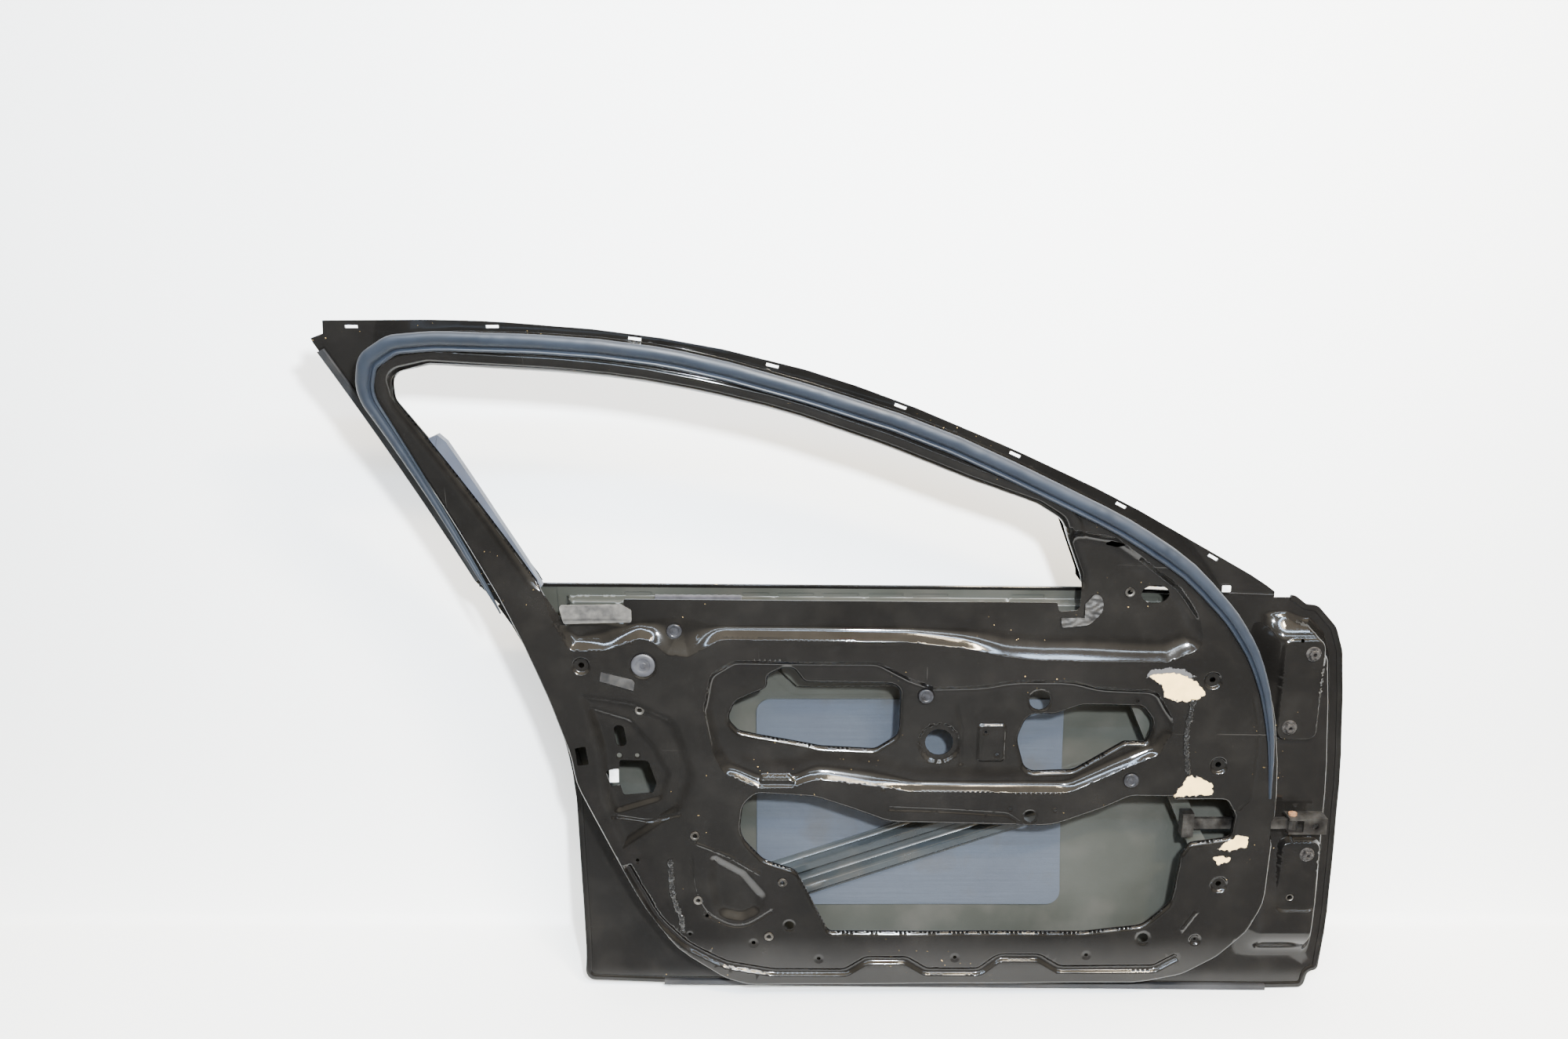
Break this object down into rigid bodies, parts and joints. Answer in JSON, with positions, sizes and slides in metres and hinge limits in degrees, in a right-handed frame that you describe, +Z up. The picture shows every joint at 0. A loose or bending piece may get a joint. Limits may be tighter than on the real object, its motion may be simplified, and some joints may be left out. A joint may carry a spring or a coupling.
{
  "type": "car front door shell",
  "caption": "Left front door shell of a large saloon: pressed inner panel, outer skin, window frame, impact beam, seal and door check, stripped of glass, trim, latch and lock.",
  "frame": {"origin": "centre of the inner panel's upper hinge face", "axes": "+X to the front of the car, +Y outboard, +Z up"},
  "size_m": [1.4011, 0.1792, 0.9966],
  "materials": {
    "black_paint": "gloss",
    "grey_green_primer": "satin",
    "beam_primer": "satin",
    "seal_rubber": "matte",
    "strip_rubber": "matte",
    "foam": "matte",
    "felt": "matte",
    "tape": "matte",
    "damping_foil": "satin",
    "plug_plastic": "matte",
    "zinc_steel": "satin",
    "dark_steel": "satin",
    "rusty_steel": "matte",
    "sealant": "matte"
  },
  "bodies": {
    "shell": {"inner_panel": "black_paint", "outer_skin": "black_paint", "window_frame_outer": "black_paint", "belt_rail_outer": "grey_green_primer", "belt_rail_inner": "black_paint", "side_impact_beam": "beam_primer", "beam_bracket_rear": "beam_primer", "beam_bracket_front": "beam_primer", "damping_pad": "damping_foil", "handle_reinforcement": "grey_green_primer", "latch_reinforcement": "grey_green_primer", "mirror_reinforcement": "grey_green_primer", "hinge_reinforcement_upper": "dark_steel", "hinge_reinforcement_lower": "dark_steel", "hinge_nut_upper_top": "zinc_steel", "hinge_nut_upper_foot": "zinc_steel", "hinge_nut_lower_top": "zinc_steel", "hinge_nut_lower_foot": "zinc_steel", "front_glass_guide": "grey_green_primer", "rear_glass_run": "strip_rubber", "door_seal": "seal_rubber", "rear_edge_trim": "strip_rubber", "sill_seal": "strip_rubber", "belt_foam_rear": "foam", "belt_tape_front": "tape", "belt_felt": "felt", "tape_strip": "tape", "sealant_front": "sealant", "sealant_rear": "sealant", "access_plug": "plug_plastic", "trim_grommet_rear": "plug_plastic", "trim_grommet_middle": "plug_plastic", "trim_grommet_front": "plug_plastic", "rivet_nut_1": "zinc_steel", "rivet_nut_2": "zinc_steel", "rivet_nut_3": "zinc_steel", "rivet_nut_4": "zinc_steel", "rivet_nut_5": "zinc_steel", "rivet_nut_6": "zinc_steel", "check_housing": "dark_steel"},
    "check_link": {"check_arm": "dark_steel", "check_end_stop": "dark_steel"},
    "pillar_bracket": {"check_bracket": "dark_steel", "check_pin": "rusty_steel"}
  },
  "joints": [
    {"name": "check_arm_slide", "type": "slide", "parent": "shell", "child": "check_link", "axis": [1, 0, 0], "range_m": [0, 0.06]},
    {"name": "check_bracket_pivot", "type": "hinge", "parent": "check_link", "child": "pillar_bracket", "pos_m": [-0.00293, -0.0216, -0.192], "axis": [0, 0, 1], "range_deg": [-70, 0]}
  ]
}
